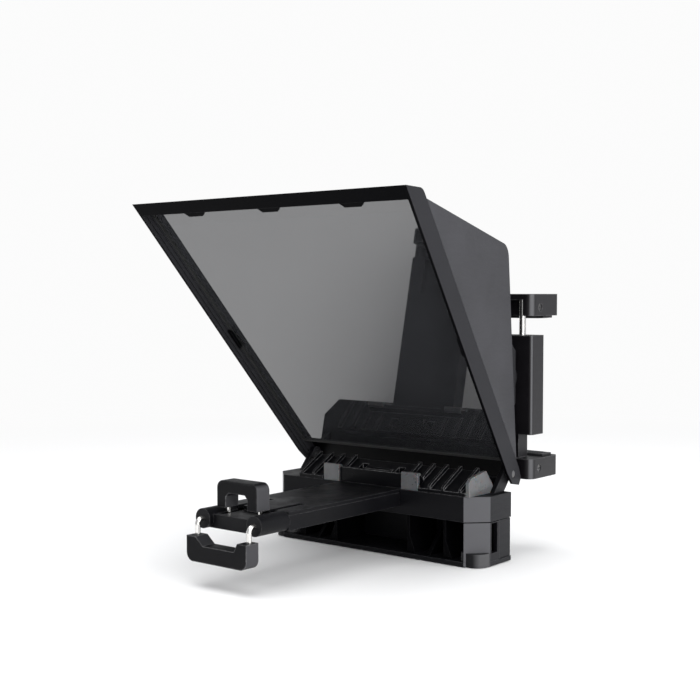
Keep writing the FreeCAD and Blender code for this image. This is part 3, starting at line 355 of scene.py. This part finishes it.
def finish_piece(name, bm, body, slot_name, smooth=True):
    """Turn a bmesh into a piece that rides on a body and takes a slot's finish."""
    bmesh.ops.recalc_face_normals(bm, faces=bm.faces)
    mesh = bpy.data.meshes.new(name)
    bm.to_mesh(mesh)
    bm.free()
    obj = bpy.data.objects.new(name, mesh)
    bpy.context.collection.objects.link(obj)
    for face in mesh.polygons:
        face.use_smooth = smooth
    mesh.materials.append(MATERIALS[slot_name])
    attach(obj, body)
    return obj


def loft(bm, rings):
    """A capped skin between rings of points that have equal counts."""
    loops = [[bm.verts.new(point) for point in ring] for ring in rings]
    count = len(loops[0])
    for loop, follower in zip(loops, loops[1:]):
        for i in range(count):
            j = (i + 1) % count
            bm.faces.new((loop[i], loop[j], follower[j], follower[i]))
    bm.faces.new(list(reversed(loops[0])))
    bm.faces.new(loops[-1])


def frame_axes(direction):
    """Two unit vectors square to a direction."""
    direction = Vector(direction).normalized()
    helper = Vector((0, 0, 1)) if abs(direction.z) < 0.9 else Vector((1, 0, 0))
    side = direction.cross(helper).normalized()
    return side, direction.cross(side).normalized()


def ridge(bm, start, end, half_wide, high, up):
    """A rounded ridge lying on a surface, tapered at both ends."""
    start, end, up = Vector(start), Vector(end), Vector(up).normalized()
    along = (end - start).normalized()
    side = along.cross(up).normalized()
    length = (end - start).length
    rings = []
    taper = 0.12
    tip = 0.15
    for step in (0.0, taper / 3, taper, 1.0 - taper, 1.0 - taper / 3, 1.0):
        grow = max(tip, min(1.0, min(step, 1.0 - step) / taper) ** 0.5)
        middle = start + along * length * step
        rings.append([middle + side * half_wide * grow * math.cos(a) + up * high * grow * math.sin(a)
                      for a in [math.pi * k / 6 for k in range(7)]])
    loft(bm, rings)


def torus(bm, centre, axis, major, minor, segments, around):
    """A closed round ring."""
    axis = Vector(axis).normalized()
    u, v = frame_axes(axis)
    centre = Vector(centre)
    loops = []
    for k in range(segments):
        angle = 2 * math.pi * k / segments
        out = u * math.cos(angle) + v * math.sin(angle)
        loops.append([bm.verts.new(centre + out * (major + minor * math.cos(b)) + axis * minor * math.sin(b))
                      for b in [2 * math.pi * j / around for j in range(around)]])
    for k in range(segments):
        loop, follower = loops[k], loops[(k + 1) % segments]
        for j in range(around):
            n = (j + 1) % around
            bm.faces.new((loop[j], loop[n], follower[n], follower[j]))


def corners(label):
    """The lowest and highest corner of a node's box."""
    low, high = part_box(label)
    return Vector(low), Vector(high)


# ---------------------------------------------------------------- relief parts

RIB_HALF = 0.42 * MM
RIB_HIGH = 0.35 * MM
RIB_MARGIN = 1.2 * MM


def rows(low, high, step):
    """Evenly spaced places between two limits, centred, never fewer than one."""
    count = max(1, int((high - low - 2 * RIB_MARGIN) / step) + 1)
    start = (low + high - (count - 1) * step) / 2
    return [start + k * step for k in range(count)]


def pad_ribs(name, label, body, face, step=1.7, inset=1.0):
    """Moulded ribs over one face of a rubber pad. face: '+y', '-z', '+z'."""
    low, high = corners(label)
    bm = bmesh.new()
    gap = inset * MM
    if face == "+y":
        for z in rows(low.z, high.z, step * MM):
            ridge(bm, (low.x + gap, high.y, z), (high.x - gap, high.y, z), RIB_HALF, RIB_HIGH, (0, 1, 0))
    else:
        level = high.z if face == "+z" else low.z
        up = (0, 0, 1) if face == "+z" else (0, 0, -1)
        for y in rows(low.y, high.y, step * MM):
            ridge(bm, (low.x + gap, y, level), (high.x - gap, y, level), RIB_HALF, RIB_HIGH, up)
    finish_piece(name, bm, body, "pad_rubber")


pad_ribs("back_pad_ribs", "clamp_back_pad", "hood", "+y")
pad_ribs("bottom_pad_ribs", "clamp_bottom_pad", "hood", "+z")
pad_ribs("top_pad_ribs", "clamp_top_pad", "clamp_jaw", "-z")
pad_ribs("inner_lining_ribs", "inner_jaw_lining", "inner_jaw", "+y", 1.3, 0.6)
pad_ribs("outer_lining_ribs", "outer_jaw_lining", "outer_jaw", "+y", 1.3, 0.6)


RIM_RADIUS = 44.0 * MM
THREAD_RADIUS = 36.05 * MM
THREAD_PITCH = 0.75 * MM
GRIP_TEETH = 120
THREAD_TURNS = 12


def ring_grip():
    """Grip teeth round the lens ring's rim."""
    bm = bmesh.new()
    for k in range(GRIP_TEETH):
        angle = 2 * math.pi * k / GRIP_TEETH
        out = Vector((math.cos(angle), 0, math.sin(angle)))
        foot = out * RIM_RADIUS
        rear, front = Vector((0, -1.5 * MM, 0)), Vector((0, -0.75 * MM, 0))
        ridge(bm, foot + rear, foot + front, 0.55 * MM, 0.32 * MM, out)
    finish_piece("ring_grip", bm, "hood", "ring_metal")


def ring_thread():
    """The fine thread inside the lens ring's bore."""
    low, _ = corners("lens_ring")
    bm = bmesh.new()
    for k in range(THREAD_TURNS):
        middle = (0, low.y + 1.2 * MM + THREAD_PITCH * k, 0)
        torus(bm, middle, (0, 1, 0), THREAD_RADIUS, 0.3 * MM, segments=96, around=6)
    finish_piece("ring_thread", bm, "hood", "ring_metal")


def lid_tongue():
    """The tongue inside the housing's rear wall that bridges the seam under the lid."""
    low, high = corners("base_lower")
    inside = high.y - 2.1 * MM
    end = 13 * MM
    bevel = 0.6 * MM
    deep = 1.2 * MM
    rings = []
    for x, part in ((low.x + end, 0.5), (low.x + end + bevel, 1.0),
                    (high.x - end - bevel, 1.0), (high.x - end, 0.5)):
        rings.append([Vector((x, inside, high.z - 1.6 * MM * part)),
                      Vector((x, inside - deep * part, high.z - 1.2 * MM * part)),
                      Vector((x, inside - deep * part, high.z + 1.6 * MM * part)),
                      Vector((x, inside, high.z + 2.0 * MM * part))])
    bm = bmesh.new()
    loft(bm, rings)
    finish_piece("lid_tongue", bm, "tray", "base_plastic", smooth=False)


ring_grip()
ring_thread()
lid_tongue()


# ---------------------------------------------------------------- stage, light, camera

PAPER_WHITE = (0.97, 0.97, 0.97, 1.0)
FADE_START = 0.22
FADE_END = 0.85


def sweep(name, colour, rough):
    """A pale floor that brightens into the white room with distance, like a paper sweep."""
    m = Graph(name)
    cloud = m.noise(3.0, 2.0, 0.5)
    m.link(m.mix(cloud, tuple(c * 0.985 for c in colour), colour), m.shader.inputs["Base Color"])
    m.set(rough=rough, spec=0.2)
    far = m.add("ShaderNodeVectorMath", operation="LENGTH")
    m.link(m.place, far.inputs[0])
    fade = m.add("ShaderNodeMapRange", interpolation_type="SMOOTHSTEP")
    fade.inputs["From Min"].default_value = FADE_START
    fade.inputs["From Max"].default_value = FADE_END
    m.link(far.outputs["Value"], fade.inputs["Value"])
    rays = m.add("ShaderNodeLightPath")
    paper = m.add("ShaderNodeEmission")
    paper.inputs["Color"].default_value = PAPER_WHITE
    both = m.add("ShaderNodeMixShader")
    m.link(m.math("MULTIPLY", fade.outputs["Result"], rays.outputs["Is Camera Ray"]), both.inputs["Fac"])
    m.link(m.shader.outputs["BSDF"], both.inputs[1])
    m.link(paper.outputs["Emission"], both.inputs[2])
    m.link(both.outputs["Shader"], m.tree.nodes["Material Output"].inputs["Surface"])
    return m.mat


floor_z = cad_box[0][2] - 0.5 * MM
bm = bmesh.new()
bmesh.ops.create_grid(bm, x_segments=2, y_segments=2, size=14.0)
floor_mesh = bpy.data.meshes.new("studio_floor")
bm.to_mesh(floor_mesh)
bm.free()
floor = bpy.data.objects.new("studio_floor", floor_mesh)
floor.location = (0, 0, floor_z)
bpy.context.collection.objects.link(floor)
floor_mesh.materials.append(sweep("studio_floor", (0.86, 0.86, 0.86), 0.9))

world = bpy.data.worlds.new("studio")
bpy.context.scene.world = world
world.use_nodes = True
room = world.node_tree.nodes["Background"]
room.inputs["Color"].default_value = (0.93, 0.94, 0.96, 1.0)
room.inputs["Strength"].default_value = 0.62
# What the camera sees behind the object is plain white, brighter than the light the room gives.
sheet = world.node_tree.nodes.new("ShaderNodeBackground")
sheet.inputs["Color"].default_value = PAPER_WHITE
rays = world.node_tree.nodes.new("ShaderNodeLightPath")
pick = world.node_tree.nodes.new("ShaderNodeMixShader")
world.node_tree.links.new(rays.outputs["Is Camera Ray"], pick.inputs["Fac"])
world.node_tree.links.new(room.outputs["Background"], pick.inputs[1])
world.node_tree.links.new(sheet.outputs["Background"], pick.inputs[2])
world.node_tree.links.new(pick.outputs["Shader"], world.node_tree.nodes["World Output"].inputs["Surface"])


def softbox(name, spot, target, wide, high, power):
    """A rectangular area light that faces a target."""
    light = bpy.data.lights.new(name, "AREA")
    light.shape = "RECTANGLE"
    light.size = wide
    light.size_y = high
    light.energy = power
    obj = bpy.data.objects.new(name, light)
    obj.location = spot
    obj.rotation_euler = (Vector(target) - Vector(spot)).to_track_quat("-Z", "Y").to_euler()
    bpy.context.collection.objects.link(obj)


softbox("key", (1.05, -0.70, 0.50), (0.05, -0.05, -0.02), 0.9, 1.1, 9.5)
softbox("side", (1.20, 0.25, 0.55), (0.05, 0.0, 0.0), 1.0, 0.9, 7.0)
softbox("strip", (1.45, -0.62, 0.05), (0.05, -0.05, -0.05), 0.10, 0.9, 3.0)
softbox("top", (-0.1, -0.3, 1.3), (0, -0.25, -0.12), 1.2, 1.2, 16.0)

camera = bpy.data.cameras.new("photo_camera")
camera.sensor_width = 36.0
camera.lens = 61.71
camera.clip_start = 0.01
camera.clip_end = 60.0
eye = bpy.data.objects.new("photo_camera", camera)
eye.location = (0.4467, -0.6023, 0.0348)
eye.rotation_euler = (math.radians(90.0 - 2.62), 0.0, math.radians(39.17))
bpy.context.collection.objects.link(eye)
bpy.context.scene.camera = eye
bpy.context.scene.view_settings.view_transform = "Standard"
bpy.context.scene.view_settings.look = "None"
